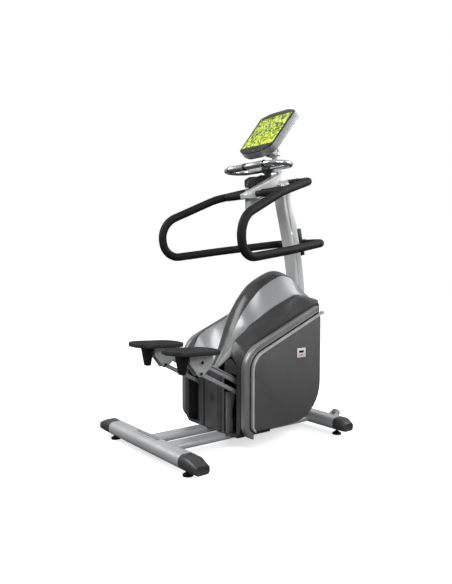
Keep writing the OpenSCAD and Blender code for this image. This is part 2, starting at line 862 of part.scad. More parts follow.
// A sleeve round the bar, a web and the back plate that is passed in
module bar_clamp(at) {
    difference() {
        union() {
            x_rod(-foam_from + 1, foam_from - 1, at, 24);
            translate([-14, at.x - 68, at.y - 16]) cube([28, 68, 32]);
            children();
        }
        x_rod(-foam_from, foam_from, at, bar_d / 2 + 0.5);
        mast_envelope();
    }
}

// ---- bottle holder, pulse bar and console -----------------------------------------

neck_foot = [354, 1379];
bottle_at = [-85, 228];
cup_r = 45;
cup_z = 1212;
cup_h = 60;
sleeve_z = 1336;

// The bracket on the end of the mast in side view
module wedge() {
    polygon(rounded_outline([[96, 1250, 4], [180, 1262, 20], [316.2, 1336, 2],
        [382, 1353, 1], [372, 1392, 10], [338, 1405, 16], [90, 1274, 6]]));
}

// The tapered bracket carries the cross bar, and beside it the cup of a bottle cage
module bottle_holder() {
    color("silver") difference() {
        union() {
            side_plate(-30, 60) wedge();
            x_rod(-30, 30, [cross_y, cross_z], 26);
            translate([bottle_at.x, bottle_at.y, cup_z]) cylinder(h = cup_h, r = cup_r);
            translate([-50, 205, cup_z + cup_h - 14]) cube([25, 46, 36]);
            for (a = [120, 205]) translate([bottle_at.x, bottle_at.y, cup_z + 10])
                rotate(a) translate([cup_r, 0, 0]) cylinder(h = sleeve_z - cup_z - 10, r = 3);
        }
        x_rod(-31, 31, [cross_y, cross_z], bar_d / 2 + 0.1);
        translate([bottle_at.x, bottle_at.y, cup_z + 3]) cylinder(h = 200, r = cup_r - 3);
        neck_post(15.1);
        on_mast_top() translate([-mast_w, -60, -10]) cube([2 * mast_w, 120, mast_top_l + 10]);
    }
}

// The dark ring of the bottle cage, with a sloping rim and a plate beside the bracket
module bottle_sleeve() {
    side = rounded_outline([[140, 1318, 4], [150, 1340, 8], [234, 1390, 14], [330, 1402, 6],
        [330, 1356, 8], [230, 1312, 10]]);
    color("black") difference() {
        union() {
            translate([bottle_at.x, bottle_at.y, sleeve_z]) cylinder(h = 70, r = cup_r + 4);
            side_plate(-54, 18) polygon(side);
            translate([-37, 206, 1326]) cube([7, 90, 22]);
        }
        translate([bottle_at.x, bottle_at.y, sleeve_z - 20]) cylinder(h = 100, r = cup_r - 2);
        side_plate(-200, 170) polygon([[100, 1322], [150, 1344], [240, 1390], [340, 1398], [340, 1450],
            [100, 1450]]);
    }
}

pulse_mid = [184, 1418];
pulse_r = 14;
pulse_half_w = 220;
pulse_half_d = 74;

// A closed loop in plan, of two straights and two half turns
module pulse_bar() {
    straight = pulse_half_w - pulse_half_d;
    color("silver") {
        for (y = [-1, 1])
            x_rod(-straight, straight, [pulse_mid.x + y * pulse_half_d, pulse_mid.y], pulse_r);
        both_sides() translate([straight, pulse_mid.x, pulse_mid.y]) rotate(-90)
            rotate_extrude(angle = 180) translate([pulse_half_d, 0]) circle(pulse_r);
    }
}

// One contact sleeve for each hand, with a collar at both ends
module pulse_grips() {
    at = [pulse_mid.x - pulse_half_d, pulse_mid.y];
    from = 12;
    to = 140;
    color("gray") both_sides() difference() {
        union() {
            x_rod(from, to, at, pulse_r + 3.5);
            for (x = [from, to - 6]) x_rod(x, x + 6, at, pulse_r + 4.5);
        }
        x_rod(from - 1, to + 1, at, pulse_r + 0.4);
    }
}

// The lower post of the neck, from its socket in the bracket to the console's pivot
module neck_post(r) {
    rise = console_pivot - neck_foot;
    translate([0, neck_foot.x, neck_foot.y]) rotate([atan2(-rise.x, rise.y), 0, 0])
        cylinder(h = norm(rise) - 4, r = r);
}

// The clamp that holds the pulse bar on an arm of the neck, with a knob below
clamp_at = [pulse_mid.x + pulse_half_d, pulse_mid.y];
module pulse_clamp() {
    color("black") difference() {
        union() {
            x_rod(-25, 25, clamp_at, 23);
            translate([0, clamp_at.x, clamp_at.y - 42]) cylinder(h = 30, r1 = 17, r2 = 20);
        }
        x_rod(-40, 40, clamp_at, pulse_r + 0.4);
    }
}

// The post under the console, with the arm to the pulse bar's clamp and the tilt barrel
module neck() {
    color("silver") difference() {
        union() {
            neck_post(15);
            translate([-20, clamp_at.x + 6, clamp_at.y - 11]) cube([40, 60, 25]);
            x_rod(-26, 26, console_pivot, 14);
            x_rod(-37, 37, console_pivot, pivot_tilt_r);
        }
        x_rod(-40, 40, clamp_at, 23);
    }
}

module console_frame() {
    translate(console_mid) rotate([90 - console_tilt, 0, 0]) children();
}

// A point in side view, measured up the console's face and back from it
function console_side(up, back) = [console_mid.y + up * sin(console_tilt) + back * cos(console_tilt),
    console_mid.z + up * cos(console_tilt) - back * sin(console_tilt)];

// The console's outline seen from the user, w and h are its half sizes
module console_outline(inset) {
    w = console_w / 2 - inset;
    h = console_h / 2 - inset;
    polygon(rounded_outline([[-w, h - 24, 16], [-w * 0.5, h, 110], [w * 0.5, h, 110], [w, h - 24, 16],
        [w - 8, 30 - h, 26], [w * 0.42, -h, 110], [-w * 0.42, -h, 110], [8 - w, 30 - h, 26]]));
}

// The rear shell, with two ears that turn on the neck's barrel
module console_housing() {
    color("silver") {
        console_frame() difference() {
            translate([0, 0, -console_t]) linear_extrude(console_t - 7) console_outline(0);
            translate([0, 0, 3 - console_t]) linear_extrude(console_t) console_outline(3);
        }
        both_sides() side_plate(28, 8) difference() {
            polygon([console_pivot + [-18, -9], console_pivot + [14, -12], console_pivot + [14, 12],
                console_side(-30, console_t - 1.4), console_side(-96, console_t - 1.4)]);
            translate(console_pivot) circle(pivot_tilt_r + fit);
        }
    }
}

screen_size = [250, 226];
screen_up = 8;

module console_face() {
    color("black") console_frame() difference() {
        translate([0, 0, -6.8]) linear_extrude(6.8) console_outline(0);
        translate([0, screen_up, 0]) cube([screen_size.x, screen_size.y, 20], center = true);
    }
}

module console_screen() {
    color("limegreen") console_frame() translate([0, screen_up, -4])
        cube([screen_size.x - 0.4, screen_size.y - 0.4, 5], center = true);
}

rear_stabilizer();
front_stabilizer();
rear_caps();
front_caps();
levelling_foot(-1, rear_foot_x, rear_axis);  // foot_rear_left
levelling_foot(1, rear_foot_x, rear_axis);  // foot_rear_right
levelling_foot(-1, front_foot_x, front_axis);  // foot_front_left
levelling_foot(1, front_foot_x, front_axis);  // foot_front_right
transport_wheel(-1);  // transport_wheel_left
transport_wheel(1);  // transport_wheel_right
wheel_axles();
base_rails();
saddle_plate();
base_fasteners();
drive_frame();
pivot_axle(upper_pivot);  // upper_axle
pivot_axle(lower_pivot);  // lower_axle
upper_arm(-1);  // upper_arm_left
upper_arm(1);  // upper_arm_right
lower_arm(-1);  // lower_arm_left
lower_arm(1);  // lower_arm_right
pedal_bracket(-1);  // pedal_bracket_left
pedal_bracket(1);  // pedal_bracket_right
pedal_tread(-1);  // pedal_tread_left
pedal_tread(1);  // pedal_tread_right
heel_block(-1);  // heel_block_left
heel_block(1);  // heel_block_right
stop_posts();
input_shaft();
sprocket(-1);  // sprocket_left
sprocket(1);  // sprocket_right
chains();
return_springs();
drive_pulley();
drive_belt();
alternator();
rotor_pulley();
main_cover();
column_cover();
edge_bands();
side_panels();
bead_trims();
saddles();
crowns();
hump();
front_cover();
badge_plate();
mast();
bar_clamps();
handlebar_tubes();
handlebar_grips();
bottle_holder();
bottle_sleeve();
pulse_bar();
pulse_grips();
pulse_clamp();
neck();
console_housing();
console_face();
console_screen();
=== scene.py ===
import json
import math
import bpy
import bmesh
from mathutils import Vector, Matrix


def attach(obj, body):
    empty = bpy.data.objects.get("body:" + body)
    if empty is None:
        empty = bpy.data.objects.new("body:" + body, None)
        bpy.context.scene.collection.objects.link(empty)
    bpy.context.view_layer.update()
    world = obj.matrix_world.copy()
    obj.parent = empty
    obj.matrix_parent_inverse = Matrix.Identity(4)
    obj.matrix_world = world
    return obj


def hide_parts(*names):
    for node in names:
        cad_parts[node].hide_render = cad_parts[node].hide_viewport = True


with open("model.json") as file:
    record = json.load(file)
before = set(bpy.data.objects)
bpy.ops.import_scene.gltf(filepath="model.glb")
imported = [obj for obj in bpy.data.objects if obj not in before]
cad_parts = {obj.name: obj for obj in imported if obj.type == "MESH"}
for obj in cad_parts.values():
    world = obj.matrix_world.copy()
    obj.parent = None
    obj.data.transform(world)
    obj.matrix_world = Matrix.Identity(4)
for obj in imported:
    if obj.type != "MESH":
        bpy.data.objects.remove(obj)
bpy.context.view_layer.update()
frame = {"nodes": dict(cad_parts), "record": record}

# The stair climber's looks around its CAD frame: metres, +Z up, +Y the way the user faces.
NODES = frame["nodes"]
MM = 0.001


# ---- camera, stage and light ----------------------------------------------------------

def make_camera():
    """The viewing angle and lens of the catalogue view, from the rear right at chest height."""
    data = bpy.data.cameras.new("camera")
    data.sensor_fit = "VERTICAL"
    data.sensor_height = 36.0
    data.lens = 37.09
    camera = bpy.data.objects.new("camera", data)
    bpy.context.scene.collection.objects.link(camera)
    camera.location = (2.468, -1.909, 0.935)
    aim = Vector((-0.7937, 0.6058, -0.0547))
    camera.rotation_euler = aim.to_track_quat("-Z", "Y").to_euler()
    bpy.context.scene.camera = camera


def area_light(name, place, aim, size, power):
    data = bpy.data.lights.new(name, "AREA")
    data.shape = "RECTANGLE"
    data.size, data.size_y = size
    data.energy = power
    lamp = bpy.data.objects.new(name, data)
    bpy.context.scene.collection.objects.link(lamp)
    lamp.location = place
    lamp.rotation_euler = (Vector(aim) - Vector(place)).to_track_quat("-Z", "Y").to_euler()


def make_world():
    """A soft room, bright overhead and dim below, with plain white behind the object."""
    world = bpy.data.worlds.new("studio")
    bpy.context.scene.world = world
    world.use_nodes = True
    nodes, links = world.node_tree.nodes, world.node_tree.links
    nodes.clear()
    coord = nodes.new("ShaderNodeTexCoord")
    split = nodes.new("ShaderNodeSeparateXYZ")
    ramp = nodes.new("ShaderNodeValToRGB")
    ramp.color_ramp.elements[0].position = 0.30
    ramp.color_ramp.elements[0].color = (0.16, 0.16, 0.165, 1)
    ramp.color_ramp.elements[1].position = 0.75
    ramp.color_ramp.elements[1].color = (1.0, 1.0, 1.0, 1)
    shift = nodes.new("ShaderNodeMapRange")
    shift.inputs["From Min"].default_value = -1
    shift.inputs["From Max"].default_value = 1
    path = nodes.new("ShaderNodeLightPath")
    mix = nodes.new("ShaderNodeMixShader")
    dim, bright = nodes.new("ShaderNodeBackground"), nodes.new("ShaderNodeBackground")
    dim.inputs["Strength"].default_value = 0.55
    bright.inputs["Color"].default_value = (1, 1, 1, 1)
    bright.inputs["Strength"].default_value = 1.0
    out = nodes.new("ShaderNodeOutputWorld")
    links.new(coord.outputs["Generated"], split.inputs[0])
    links.new(split.outputs["Z"], shift.inputs["Value"])
    links.new(shift.outputs[0], ramp.inputs["Fac"])
    links.new(ramp.outputs["Color"], dim.inputs["Color"])
    links.new(path.outputs["Is Camera Ray"], mix.inputs["Fac"])
    links.new(dim.outputs[0], mix.inputs[1])
    links.new(bright.outputs[0], mix.inputs[2])
    links.new(mix.outputs[0], out.inputs["Surface"])


def make_floor():
    """A wide pale floor that is left out of the object's own reflections."""
    mesh = bpy.data.meshes.new("floor")
    r = 14.0
    mesh.from_pydata([(-r, -r, 0), (r, -r, 0), (r, r, 0), (-r, r, 0)], [], [(0, 1, 2, 3)])
    floor = bpy.data.objects.new("floor", mesh)
    bpy.context.scene.collection.objects.link(floor)
    mat = bpy.data.materials.new("floor_pale")
    mat.use_nodes = True
    nodes, links = mat.node_tree.nodes, mat.node_tree.links
    bsdf = nodes["Principled BSDF"]
    bsdf.inputs["Base Color"].default_value = (0.95, 0.95, 0.95, 1)
    bsdf.inputs["Roughness"].default_value = 0.9
    bsdf.inputs["Emission Color"].default_value = (1, 1, 1, 1)
    bsdf.inputs["Emission Strength"].default_value = 0.6
    mesh.materials.append(mat)
    floor.visible_diffuse = False
    floor.visible_glossy = False


make_camera()
make_world()
make_floor()
area_light("key", (-1.6, -2.6, 3.2), (0, 0, 0.8), (2.2, 2.2), 85)
area_light("side", (3.4, -0.6, 2.4), (0, 0, 0.7), (2.4, 1.6), 60)
area_light("front", (1.5, 3.0, 2.6), (0, 0.2, 0.8), (2.0, 2.0), 50)
scene = bpy.context.scene
scene.view_settings.view_transform = "Standard"
scene.view_settings.look = "None"


# ---- materials ------------------------------------------------------------------------

def shade(color, k):
    return tuple(min(1.0, max(0.0, c * k)) for c in color) + (1.0,)


def material(name, color, rough=0.5, metallic=0.0, cloud=0.06, cloud_size=0.09, grain=0.0012,
             grain_depth=0.12, rough_var=0.07, coat=0.0, coat_rough=0.12, stretch=(1, 1, 1),
             specular=0.5, sheen=0.0, speck=0.0):
    """A moulded, painted or foam surface: cloudy tone, fine grain and uneven gloss."""
    mat = bpy.data.materials.new(name)
    mat.use_nodes = True
    nodes, links = mat.node_tree.nodes, mat.node_tree.links
    bsdf = nodes["Principled BSDF"]
    coord = nodes.new("ShaderNodeTexCoord")
    big = nodes.new("ShaderNodeTexNoise")
    big.inputs["Scale"].default_value = 1.0 / cloud_size
    big.inputs["Detail"].default_value = 4
    links.new(coord.outputs["Object"], big.inputs["Vector"])
    ramp = nodes.new("ShaderNodeValToRGB")
    ramp.color_ramp.elements[0].position = 0.3
    ramp.color_ramp.elements[1].position = 0.72
    ramp.color_ramp.elements[0].color = shade(color, 1 - cloud)
    ramp.color_ramp.elements[1].color = shade(color, 1 + cloud)
    links.new(big.outputs["Fac"], ramp.inputs["Fac"])
    tone = ramp.outputs["Color"]
    mapping = nodes.new("ShaderNodeMapping")
    mapping.inputs["Scale"].default_value = stretch
    links.new(coord.outputs["Object"], mapping.inputs["Vector"])
    fine = nodes.new("ShaderNodeTexNoise")
    fine.inputs["Scale"].default_value = 1.0 / grain
    fine.inputs["Detail"].default_value = 3
    links.new(mapping.outputs[0], fine.inputs["Vector"])
    if speck > 0:
        flecks = nodes.new("ShaderNodeMapRange")
        flecks.inputs["From Min"].default_value = 0.55
        flecks.inputs["From Max"].default_value = 0.75
        flecks.inputs["To Max"].default_value = speck
        links.new(fine.outputs["Fac"], flecks.inputs["Value"])
        mix = nodes.new("ShaderNodeMix")
        mix.data_type = "RGBA"
        mix.inputs["B"].default_value = shade(color, 1.9)
        links.new(flecks.outputs[0], mix.inputs["Factor"])
        links.new(tone, mix.inputs["A"])
        tone = mix.outputs["Result"]
    links.new(tone, bsdf.inputs["Base Color"])
    gloss = nodes.new("ShaderNodeMapRange")
    gloss.inputs["To Min"].default_value = max(0.02, rough - rough_var)
    gloss.inputs["To Max"].default_value = min(1.0, rough + rough_var)
    links.new(big.outputs["Fac"], gloss.inputs["Value"])
    links.new(gloss.outputs[0], bsdf.inputs["Roughness"])
    bump = nodes.new("ShaderNodeBump")
    bump.inputs["Strength"].default_value = grain_depth
    bump.inputs["Distance"].default_value = 0.0004
    links.new(fine.outputs["Fac"], bump.inputs["Height"])
    links.new(bump.outputs["Normal"], bsdf.inputs["Normal"])
    bsdf.inputs["Metallic"].default_value = metallic
    bsdf.inputs["Specular IOR Level"].default_value = specular
    bsdf.inputs["Coat Weight"].default_value = coat
    bsdf.inputs["Coat Roughness"].default_value = coat_rough
    bsdf.inputs["Sheen Weight"].default_value = sheen
    return mat


MATS = {
    "silver_paint": material("silver_paint", (0.63, 0.64, 0.65), 0.32, 0.45, grain=0.0009,
        speck=0.2, coat=0.2),
    "mast_silver": material("mast_silver", (0.78, 0.785, 0.79), 0.34, 0.3, grain=0.004,
        stretch=(1, 1, 0.02), grain_depth=0.03, coat=0.15, cloud=0.03),
    "cap_dark": material("cap_dark", (0.055, 0.055, 0.058), 0.34, grain=0.0011, grain_depth=0.15,
        specular=0.4),
    "foot_rubber": material("foot_rubber", (0.012, 0.012, 0.013), 0.6, grain=0.0014, specular=0.2),
    "wheel_rubber": material("wheel_rubber", (0.32, 0.32, 0.325), 0.6, grain=0.0014, specular=0.3),
    "block_rubber": material("block_rubber", (0.010, 0.010, 0.011), 0.5, grain=0.0014,
        specular=0.3),
    "belt_rubber": material("belt_rubber", (0.02, 0.02, 0.02), 0.7, grain=0.002, specular=0.2),
    "bright_steel": material("bright_steel", (0.62, 0.62, 0.63), 0.24, 1.0, grain=0.002,
        stretch=(0.05, 1, 1), grain_depth=0.06),
    "drive_steel": material("drive_steel", (0.18, 0.18, 0.19), 0.32, 1.0, grain=0.0015,
        grain_depth=0.1),
    "frame_paint": material("frame_paint", (0.04, 0.04, 0.043), 0.5, 0.2, grain=0.0015,
        grain_depth=0.2),
    "post_paint": material("post_paint", (0.42, 0.42, 0.43), 0.4, 0.3, grain=0.0012, speck=0.2),
    "arm_paint": material("arm_paint", (0.42, 0.42, 0.43), 0.36, 0.35, grain=0.0012, speck=0.2),
    "bracket_paint": material("bracket_paint", (0.55, 0.555, 0.56), 0.36, 0.35, grain=0.001,
        speck=0.2),
    "pulley_iron": material("pulley_iron", (0.08, 0.08, 0.085), 0.5, 0.7, grain=0.003,
        grain_depth=0.35),
    "alternator_body": material("alternator_body", (0.18, 0.18, 0.185), 0.45, 0.8, grain=0.002,
        grain_depth=0.3),
    "tread_plastic": material("tread_plastic", (0.014, 0.014, 0.015), 0.5, grain=0.0016,
        specular=0.35),
    "cover_dark": material("cover_dark", (0.045, 0.045, 0.047), 0.4, grain=0.0012, grain_depth=0.12,
        specular=0.4),
    "column_grey": material("column_grey", (0.085, 0.085, 0.088), 0.42, grain=0.0012,
        grain_depth=0.1, specular=0.4),
    "band_silver": material("band_silver", (0.26, 0.26, 0.264), 0.32, 0.4, grain=0.0008, speck=0.25,
        coat=0.3),
    "panel_grey": material("panel_grey", (0.125, 0.125, 0.127), 0.36, 0.3, grain=0.0008, speck=0.2,
        coat=0.25),
    "trim_light": material("trim_light", (0.64, 0.64, 0.65), 0.3, 0.3, grain=0.0008, speck=0.15,
        coat=0.35),
    "saddle_grey": material("saddle_grey", (0.042, 0.042, 0.044), 0.36, 0.2, grain=0.0008,
        speck=0.3, coat=0.2),
    "crown_silver": material("crown_silver", (0.32, 0.325, 0.33), 0.38, 0.4, grain=0.0008,
        speck=0.2, coat=0.3),
    "hump_dark": material("hump_dark", (0.045, 0.045, 0.047), 0.3, 0.25, grain=0.0008, speck=0.3,
        coat=0.3),
    "badge_white": material("badge_white", (0.80, 0.80, 0.81), 0.3, grain=0.001, grain_depth=0.03,
        cloud=0.02),
    "clamp_black": material("clamp_black", (0.012, 0.012, 0.013), 0.42, grain=0.0012, specular=0.4),
    "tube_black": material("tube_black", (0.015, 0.015, 0.016), 0.4, 0.2, grain=0.0012,
        specular=0.3),
    "grip_foam": material("grip_foam", (0.012, 0.0115, 0.012), 0.6, grain=0.0022, grain_depth=0.4,
        cloud=0.15, cloud_size=0.03, specular=0.22),
    "pulse_chrome": material("pulse_chrome", (0.68, 0.69, 0.70), 0.16, 1.0, grain=0.02,
        grain_depth=0.004, cloud=0.02, rough_var=0.02),
    "pulse_pads": material("pulse_pads", (0.58, 0.58, 0.59), 0.26, 1.0, grain=0.0015,
        stretch=(0.06, 1, 1), grain_depth=0.03, rough_var=0.02),
    "console_silver": material("console_silver", (0.36, 0.365, 0.37), 0.34, 0.4, grain=0.0008,
        speck=0.2, coat=0.25),
    "console_black": material("console_black", (0.016, 0.016, 0.018), 0.3, grain=0.0012,
        grain_depth=0.05, specular=0.4, coat=0.15),
}
DARK_MARK = material("dark_mark", (0.01, 0.01, 0.012), 0.4, grain=0.0012, specular=0.3)
RED_MARK = material("red_mark", (0.45, 0.02, 0.02), 0.4, grain=0.0012, grain_depth=0.02)


def screen_material():
    """A lit display with a soft abstract picture in greens and yellows."""
    mat = bpy.data.materials.new("screen_picture")
    mat.use_nodes = True
    nodes, links = mat.node_tree.nodes, mat.node_tree.links
    bsdf = nodes["Principled BSDF"]
    coord = nodes.new("ShaderNodeTexCoord")
    warp = nodes.new("ShaderNodeTexNoise")
    warp.inputs["Scale"].default_value = 9
    warp.inputs["Detail"].default_value = 2
    links.new(coord.outputs["Object"], warp.inputs["Vector"])
    bend = nodes.new("ShaderNodeVectorMath")
    bend.operation = "MULTIPLY_ADD"
    bend.inputs[1].default_value = (0.12, 0.12, 0.12)
    links.new(warp.outputs["Color"], bend.inputs[0])
    links.new(coord.outputs["Object"], bend.inputs[2])
    leaves = nodes.new("ShaderNodeTexVoronoi")
    leaves.feature = "SMOOTH_F1"
    leaves.inputs["Scale"].default_value = 60
    leaves.inputs["Smoothness"].default_value = 0.3
    links.new(bend.outputs[0], leaves.inputs["Vector"])
    ramp = nodes.new("ShaderNodeValToRGB")
    stops = [(0.16, (0.80, 0.88, 0.42)), (0.36, (0.58, 0.64, 0.07)), (0.56, (0.36, 0.44, 0.03)),
             (0.78, (0.14, 0.21, 0.01)), (0.98, (0.02, 0.05, 0.005))]
    ramp.color_ramp.elements[0].position = stops[0][0]
    ramp.color_ramp.elements[0].color = stops[0][1] + (1,)
    ramp.color_ramp.elements[1].position = stops[-1][0]
    ramp.color_ramp.elements[1].color = stops[-1][1] + (1,)
    for at, c in stops[1:-1]:
        ramp.color_ramp.elements.new(at).color = c + (1,)
    dusk = nodes.new("ShaderNodeTexNoise")
    dusk.inputs["Scale"].default_value = 7
    links.new(coord.outputs["Object"], dusk.inputs["Vector"])
    deepen = nodes.new("ShaderNodeMath")
    deepen.operation = "MULTIPLY_ADD"
    deepen.inputs[1].default_value = 0.36
    links.new(dusk.outputs["Fac"], deepen.inputs[0])
    links.new(leaves.outputs["Distance"], deepen.inputs[2])
    links.new(deepen.outputs[0], ramp.inputs["Fac"])
    links.new(ramp.outputs["Color"], bsdf.inputs["Emission Color"])
    links.new(ramp.outputs["Color"], bsdf.inputs["Base Color"])
    bsdf.inputs["Emission Strength"].default_value = 0.85
    bsdf.inputs["Roughness"].default_value = 0.12
    return mat


MATS["screen_glass"] = screen_material()


# ---- mesh helpers ---------------------------------------------------------------------

def piece(name, mesh, mat, body="base", replaces=(), smooth_angle=35):
    mesh.validate()
    if not mesh.materials:
        mesh.materials.append(mat)
    for p in mesh.polygons:
        p.use_smooth = True
    mesh.set_sharp_from_angle(angle=math.radians(smooth_angle))
    obj = bpy.data.objects.new(name, mesh)
    bpy.context.scene.collection.objects.link(obj)
    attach(obj, body)
    if replaces:
        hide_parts(*replaces)
    return obj


def from_bmesh(name, bm):
    bmesh.ops.recalc_face_normals(bm, faces=bm.faces)
    mesh = bpy.data.meshes.new(name)
    bm.to_mesh(mesh)
    bm.free()
    return mesh


def bevel(obj, width, segments=3, angle=35):
    mod = obj.modifiers.new("soft_edges", "BEVEL")
    mod.width = width
    mod.segments = segments
    mod.limit_method = "ANGLE"
    mod.angle_limit = math.radians(angle)
    mod.harden_normals = True
    return mod


def dress(node, mat, width=0.0, segments=2, angle=35):
    """A CAD node keeps its shape: welded, softened at its edges and given its material."""
    obj = NODES[node]
    obj.data.materials.clear()
    obj.data.materials.append(mat)
    for p in obj.data.polygons:
        p.use_smooth = True
    if width > 0:
        weld = obj.modifiers.new("weld", "WELD")
        weld.merge_threshold = 0.00002
        bevel(obj, width, segments, angle)
    return obj


def ring_frames(path):
    """A frame that follows a path without twisting: [(point, normal, binormal)]."""
    before = Vector((0, 0, 1))
    frames = []
    last = len(path) - 1
    for i, p in enumerate(path):
        t = (path[min(i + 1, last)] - path[max(i - 1, 0)]).normalized()
        n = (before - before.dot(t) * t).normalized()
        frames.append((p, n, t.cross(n)))
        before = n
    return frames


def sweep(bm, path, radii, sides=24):
    """A closed round rod along a path with a radius at every point."""
    rings = []
    for (p, n, b), r in zip(ring_frames(path), radii):
        turns = [2 * math.pi * k / sides for k in range(sides)]
        rings.append([bm.verts.new(p + r * (math.cos(a) * n + math.sin(a) * b)) for a in turns])
    for a, b in zip(rings, rings[1:]):
        for k in range(sides):
            bm.faces.new((a[k], a[(k + 1) % sides], b[(k + 1) % sides], b[k]))
    bm.faces.new(rings[0][::-1])
    bm.faces.new(rings[-1])


def bar_path(corners, step=4.0):
    """Rounds the corners of a list of (x, y, z, radius), in millimetres, and returns metres."""
    at = [Vector(c[:3]) for c in corners]
    out = [at[0]]
    for i in range(1, len(at) - 1):
        u, v = (at[i - 1] - at[i]).normalized(), (at[i + 1] - at[i]).normalized()
        r = corners[i][3]
        half = math.acos(max(-1, min(1, u.dot(v)))) / 2
        mid = at[i] + (u + v).normalized() * r / math.sin(half)
        a = (at[i] + u * r / math.tan(half) - mid).normalized()
        b = (at[i] + v * r / math.tan(half) - mid).normalized()
        turn = math.acos(max(-1, min(1, a.dot(b))))
        n = max(4, math.ceil(math.degrees(turn) / step))
        for k in range(n + 1):
            s = k / n
            out.append(mid + r * (a * math.sin(turn * (1 - s)) + b * math.sin(turn * s)) / math.sin(turn))
    out.append(at[-1])
    return [p * MM for p in out]


def mirror_x(path):
    return [Vector((-p.x, p.y, p.z)) for p in path]


# ---- carried-over CAD nodes -----------------------------------------------------------

# Radius of the softened edges of each node, in millimetres
SOFT_EDGES = {
    "rear_stabilizer": 0, "front_stabilizer": 0, "rear_caps": 5, "front_caps": 5,
    "foot_rear_left": 1.5, "foot_rear_right": 1.5, "foot_front_left": 1.5, "foot_front_right": 1.5,
    "transport_wheel_left": 4, "transport_wheel_right": 4, "wheel_axles": 1.2, "base_rails": 0,
    "saddle_plate": 1.2, "base_fasteners": 1.2, "drive_frame": 0.8, "upper_axle": 1.5,
    "lower_axle": 1.5, "upper_arm_left": 2.5, "upper_arm_right": 2.5, "lower_arm_left": 2,
    "lower_arm_right": 2, "pedal_bracket_left": 1.2, "pedal_bracket_right": 1.2,
    "pedal_tread_left": 2.5, "pedal_tread_right": 2.5, "heel_block_left": 4, "heel_block_right": 4,
    "stop_posts": 1.2, "input_shaft": 1.2, "sprocket_left": 0.4, "sprocket_right": 0.4,
    "chains": 0.5, "return_springs": 0.5, "drive_pulley": 1.5, "drive_belt": 0.6, "alternator": 3,
    "rotor_pulley": 1, "main_cover": 1.0, "column_cover": 1.0, "edge_bands": 9, "side_panels": 2,
    "bead_trims": 3.4, "saddles": 2, "crowns": 2, "hump": 2, "front_cover": 1, "badge_plate": 0.5,
    "mast": 0.8, "bar_clamps": 2, "handlebar_tubes": 0, "handlebar_grips": 0, "bottle_holder": 1.5,
    "bottle_sleeve": 1.5, "pulse_bar": 0, "pulse_grips": 1, "pulse_clamp": 1.5, "neck": 1.2,
    "console_housing": 6, "console_face": 1.5, "console_screen": 0.4,
}
SLOT_OF = {s["node"]: s["material_slot"] for s in frame["record"]["subparts"]}

for node in NODES:
    radius = SOFT_EDGES[node]
    dress(node, MATS[SLOT_OF[node]], radius * MM, 4 if radius > 3 else 2)


# ---- smooth foam bars -----------------------------------------------------------------

FOAM_R = 0.0215
CLAMP_HALF = 0.046
CROSS_FROM, CROSS_TO = 0.062, 0.227
CROSS_Y, CROSS_Z = 0.160, 1.279
# Corners of the right half of the bar, in millimetres, with the radius of each bend
BAR = [(0, 445, 1357, 0), (132, 445, 1357, 62), (276, 110, 1266, 300), (346, -214, 1118, 122),
       (334, -178, 936, 84), (290, 150, 978, 400), (176, 502, 1023, 62), (0, 502, 1023, 0)]


def resample(path, step):
    """Points at an even spacing along a path."""
    out, rest = [path[0]], step
    for a, b in zip(path, path[1:]):
        d = (b - a).length
        while rest < d:
            out.append(a.lerp(b, rest / d))
            rest += step
        rest -= d
    out.append(path[-1])
    return out


def foam_bars():
    """The foam of both side loops and of the short cross bar, with rounded ends."""
    bm = bmesh.new()
    path = resample(bar_path(BAR, 3.0), 0.012)
    keep = [p for p in path if p.x > CLAMP_HALF]
    n = len(keep)
    for side in (keep, mirror_x(keep)):
        ends = [min(1.0, 0.55 + 0.45 * min(i, n - 1 - i)) for i in range(n)]
        sweep(bm, side, [FOAM_R * e + 0.00015 * math.sin(i * 1.7) for i, e in enumerate(ends)], 28)
    for s in (-1, 1):
        steps = [CROSS_FROM + (CROSS_TO - CROSS_FROM) * k / 14 for k in range(15)]
        cross = [Vector((s * x, CROSS_Y, CROSS_Z)) for x in steps]
        sweep(bm, cross, [FOAM_R * (0.8 if k == 0 else 1) for k in range(15)], 28)
    obj = piece("foam_grips", from_bmesh("foam_grips", bm), MATS["grip_foam"],
                replaces=("handlebar_grips",), smooth_angle=50)


foam_bars()


# ---- smooth top covers ----------------------------------------------------------------

# Sections of the cover: place along the machine, crest height of the hump, its half width and
# edge height, half width and height of the crown edge, and height of the side edge
TOP = [
    (-120, 375, 16, 372, 162, 470, 330),
    (-95, 409, 19, 404, 152, 525, 440),
    (-73, 445, 22, 438, 149, 544, 475),
    (-44, 503, 32, 494, 147, 562, 508),
    (-10, 580, 40, 566, 138, 578, 531),
    (37, 676, 50, 650, 120, 601, 555),
    (85, 745, 58, 714, 111, 622, 577),
    (148, 805, 65, 776, 104, 651, 604),
    (222, 845, 66, 818, 101, 686, 632),
    (302, 870, 66, 845, 100, 718, 660),
    (380, 846, 62, 826, 100, 742, 688),
    (450, 786, 56, 774, 98, 728, 700),
    (530, 730, 50, 724, 96, 690, 690),
]
COVER_REAR = -120
COVER_FRONT = 529
FRONT_BOW = 154
FRONT_HALF_W = 271
SADDLE_X = 239.2
SIDE_X = 262
MAST_GAP = 43


def section(y):
    """The cover's section at a place along the machine, on a smooth curve through the rows."""
    last = len(TOP) - 1
    i = max([k for k in range(last) if TOP[k][0] <= y] or [0])
    a, b, c, d = TOP[max(i - 1, 0)], TOP[i], TOP[i + 1], TOP[min(i + 2, last)]
    t = min(1.0, max(0.0, (y - b[0]) / (c[0] - b[0])))
    return [0.5 * (2 * q + (r - p) * t + (2 * p - 5 * q + 4 * r - u) * t * t
                   + (3 * q - p - 3 * r + u) * t ** 3)
            for p, q, r, u in zip(a, b, c, d)]


def front_edge(x):
    return COVER_FRONT - FRONT_BOW * (x / FRONT_HALF_W) ** 2


